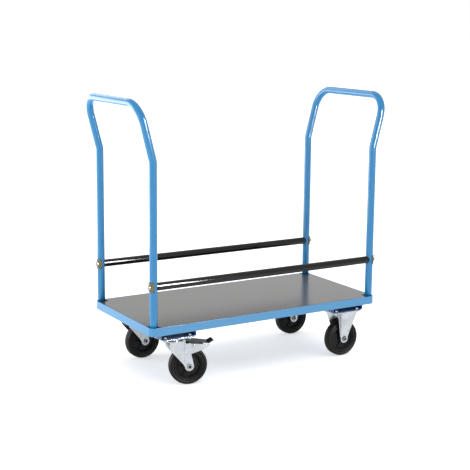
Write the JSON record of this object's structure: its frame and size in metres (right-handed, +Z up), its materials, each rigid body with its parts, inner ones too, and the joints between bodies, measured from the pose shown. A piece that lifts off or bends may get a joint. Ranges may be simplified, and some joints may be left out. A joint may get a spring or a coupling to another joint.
{
  "type": "platform truck",
  "caption": "Flatbed platform truck with a grey deck in a blue steel rim, a leaning tube hoop at each end, black side rails and casters, the left pair swivelling with foot brakes.",
  "frame": {"origin": "on the floor under the middle of the deck", "axes": "+X along the deck towards the fixed casters, +Y across the deck away from the side with the pedal in view, +Z up"},
  "size_m": [0.952, 0.42, 0.9135],
  "materials": {
    "frame_paint": "satin light blue powder coat",
    "hoop_paint": "semi-gloss light blue powder coat",
    "deck_board": "smooth grey faced board",
    "rail_black": "gloss black",
    "black_plastic": "matte",
    "tyre_rubber": "matte black rubber",
    "hub_plastic": "matte black",
    "pad_rubber": "ribbed black",
    "lever_black": "black coated steel",
    "zinc_sheet": "bright zinc plate",
    "bearing_steel": "greased steel",
    "zinc_fixing": "bright zinc plate"
  },
  "bodies": {
    "platform": {"rim_frame": "frame_paint", "deck_board": "deck_board", "deck_bearers": "frame_paint", "deck_screws": "zinc_fixing", "channel_left": "frame_paint", "channel_right": "frame_paint", "corner_plates": "frame_paint", "hoop_left": "hoop_paint", "hoop_right": "hoop_paint", "rail_near": "rail_black", "rail_far": "rail_black", "rail_plugs": "black_plastic", "rail_inserts": "zinc_fixing", "rail_saddles": "zinc_fixing", "rail_bolts": "zinc_fixing", "caster_bolts": "zinc_fixing", "caster_nuts": "zinc_fixing", "nl_plate": "zinc_sheet", "nl_race_cup": "zinc_sheet", "nl_king_bolt": "zinc_fixing", "fl_plate": "zinc_sheet", "fl_race_cup": "zinc_sheet", "fl_king_bolt": "zinc_fixing", "nr_bracket": "zinc_sheet", "nr_axle_bolt": "zinc_fixing", "nr_axle_nut": "zinc_fixing", "nr_sleeve": "zinc_fixing", "fr_bracket": "zinc_sheet", "fr_axle_bolt": "zinc_fixing", "fr_axle_nut": "zinc_fixing", "fr_sleeve": "zinc_fixing"},
    "nl_fork_body": {"nl_fork": "zinc_sheet", "nl_ball_cage": "bearing_steel", "nl_axle_bolt": "zinc_fixing", "nl_axle_nut": "zinc_fixing", "nl_sleeve": "zinc_fixing", "nl_brake_pin": "zinc_fixing"},
    "nl_wheel": {"nl_hub": "hub_plastic", "nl_tyre": "tyre_rubber"},
    "nl_brake": {"nl_lever": "lever_black", "nl_shoe": "lever_black", "nl_pad": "pad_rubber"},
    "fl_fork_body": {"fl_fork": "zinc_sheet", "fl_ball_cage": "bearing_steel", "fl_axle_bolt": "zinc_fixing", "fl_axle_nut": "zinc_fixing", "fl_sleeve": "zinc_fixing", "fl_brake_pin": "zinc_fixing"},
    "fl_wheel": {"fl_hub": "hub_plastic", "fl_tyre": "tyre_rubber"},
    "fl_brake": {"fl_lever": "lever_black", "fl_shoe": "lever_black", "fl_pad": "pad_rubber"},
    "nr_wheel": {"nr_hub": "hub_plastic", "nr_tyre": "tyre_rubber"},
    "fr_wheel": {"fr_hub": "hub_plastic", "fr_tyre": "tyre_rubber"}
  },
  "joints": [
    {"name": "nl_swivel", "type": "hinge", "parent": "platform", "child": "nl_fork_body", "pos_m": [-0.33, -0.156, 0.15], "axis": [0, 0, 1], "continuous": true},
    {"name": "nl_spin", "type": "hinge", "parent": "nl_fork_body", "child": "nl_wheel", "pos_m": [-0.28323, -0.1668, 0.0625], "axis": [0.225, 0.9744, 0], "continuous": true},
    {"name": "nl_brake_pedal", "type": "hinge", "parent": "nl_fork_body", "child": "nl_brake", "pos_m": [-0.26959, -0.16995, 0.13], "axis": [0.225, 0.9744, 0], "range_deg": [0, 8]},
    {"name": "fl_swivel", "type": "hinge", "parent": "platform", "child": "fl_fork_body", "pos_m": [-0.33, 0.156, 0.15], "axis": [0, 0, 1], "continuous": true},
    {"name": "fl_spin", "type": "hinge", "parent": "fl_fork_body", "child": "fl_wheel", "pos_m": [-0.28212, 0.15935, 0.0625], "axis": [-0.0698, 0.9976, 0], "continuous": true},
    {"name": "fl_brake_pedal", "type": "hinge", "parent": "fl_fork_body", "child": "fl_brake", "pos_m": [-0.26815, 0.16032, 0.13], "axis": [-0.0698, 0.9976, 0], "range_deg": [0, 8]},
    {"name": "nr_spin", "type": "hinge", "parent": "platform", "child": "nr_wheel", "pos_m": [0.33, -0.156, 0.0625], "axis": [0, 1, 0], "continuous": true},
    {"name": "fr_spin", "type": "hinge", "parent": "platform", "child": "fr_wheel", "pos_m": [0.33, 0.156, 0.0625], "axis": [0, 1, 0], "continuous": true}
  ]
}
